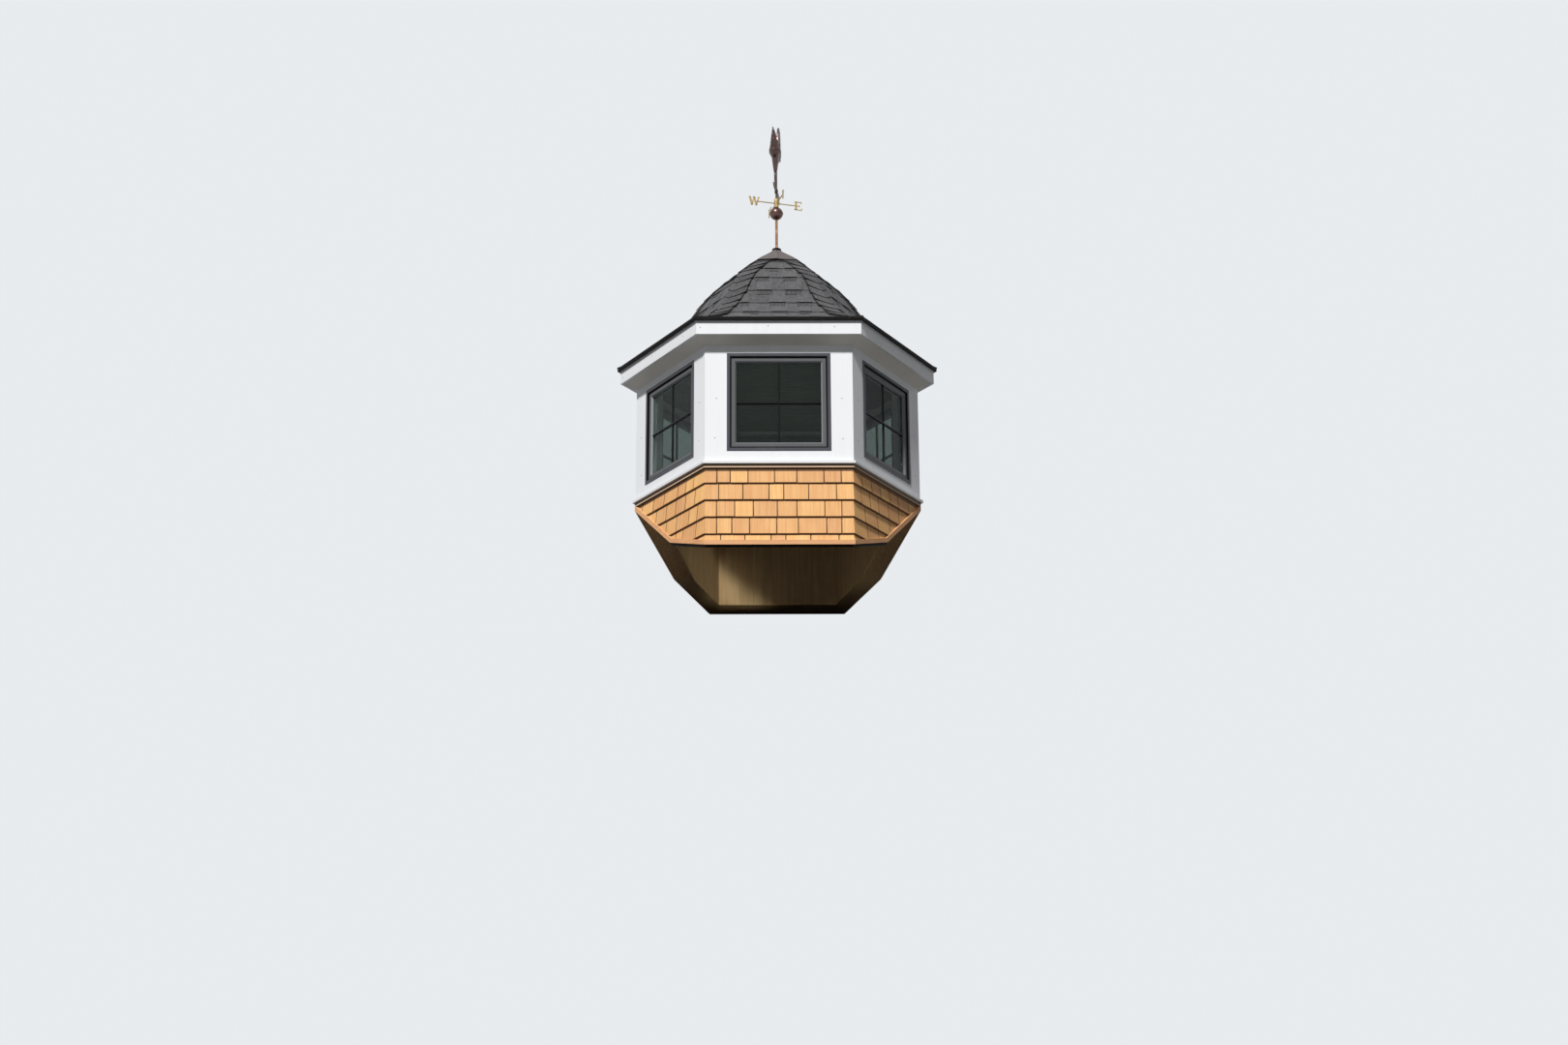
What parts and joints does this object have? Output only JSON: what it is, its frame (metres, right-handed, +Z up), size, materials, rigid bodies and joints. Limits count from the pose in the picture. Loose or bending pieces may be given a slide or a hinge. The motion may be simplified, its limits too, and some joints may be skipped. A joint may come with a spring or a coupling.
{
  "type": "garage cupola",
  "caption": "Hexagonal garage cupola on a cedar-shingled saddle base, with a window lantern, a bell-cast shingled roof and a turning weathercock.",
  "frame": {"origin": "on the vertical axis of the hexagon, level with the lowest edge of the base", "axes": "+Z up, +X along the garage's ridge, -Y the front wall, which stands on the dormer roof"},
  "size_m": [2.418, 2.094, 3.7515],
  "materials": {
    "sheathing": "raw plywood boarding",
    "cedar": "new clear cedar shingles, unfinished",
    "cedar_trim": "planed cedar, unfinished",
    "white_trim": "satin white paint on trim boards",
    "black_frame": "satin black coated window frame",
    "glass": "clear float glass",
    "ceiling_boards": "dark stained boards",
    "flashing": "black coated sheet metal",
    "asphalt": "mineral granules on asphalt",
    "asphalt_brown": "mineral granules on asphalt, browner",
    "collar": "dark coated metal",
    "copper": "bright copper tube",
    "aged_copper": "brown oxidised copper",
    "brass": "polished brass, lightly tarnished"
  },
  "bodies": {
    "cupola": {"base_wall_back_right": "sheathing", "base_wall_back": "sheathing", "base_wall_back_left": "sheathing", "base_wall_front_left": "sheathing", "base_wall_front": "sheathing", "base_wall_front_right": "sheathing", "shingles_back_right": "cedar", "shingles_back": "cedar", "shingles_back_left": "cedar", "shingles_front_left": "cedar", "shingles_front": "cedar", "shingles_front_right": "cedar", "foot_flashing": "flashing", "foot_strip": "cedar_trim", "head_strip": "cedar_trim", "window_wall_back_right": "white_trim", "window_wall_back": "white_trim", "window_wall_back_left": "white_trim", "window_wall_front_left": "white_trim", "window_wall_front": "white_trim", "window_wall_front_right": "white_trim", "window_frame_back_right": "black_frame", "window_frame_back": "black_frame", "window_frame_back_left": "black_frame", "window_frame_front_left": "black_frame", "window_frame_front": "black_frame", "window_frame_front_right": "black_frame", "window_glass": "glass", "drip_moulding": "white_trim", "ceiling": "ceiling_boards", "soffit": "white_trim", "fascia": "white_trim", "drip_edge": "flashing", "roof_deck": "sheathing", "roof_shingles": "asphalt", "hip_caps": "asphalt", "peak_cap": "asphalt_brown", "pole_collar": "collar", "vane_pole": "copper", "copper_ball": "aged_copper", "compass_arms": "brass"},
    "vane": {"vane_sleeve": "aged_copper", "vane_arrow": "aged_copper", "weathercock": "aged_copper"}
  },
  "joints": [
    {"name": "vane_spin", "type": "hinge", "parent": "cupola", "child": "vane", "pos_m": [0, 0, 3], "axis": [0, 0, 1], "continuous": true}
  ]
}
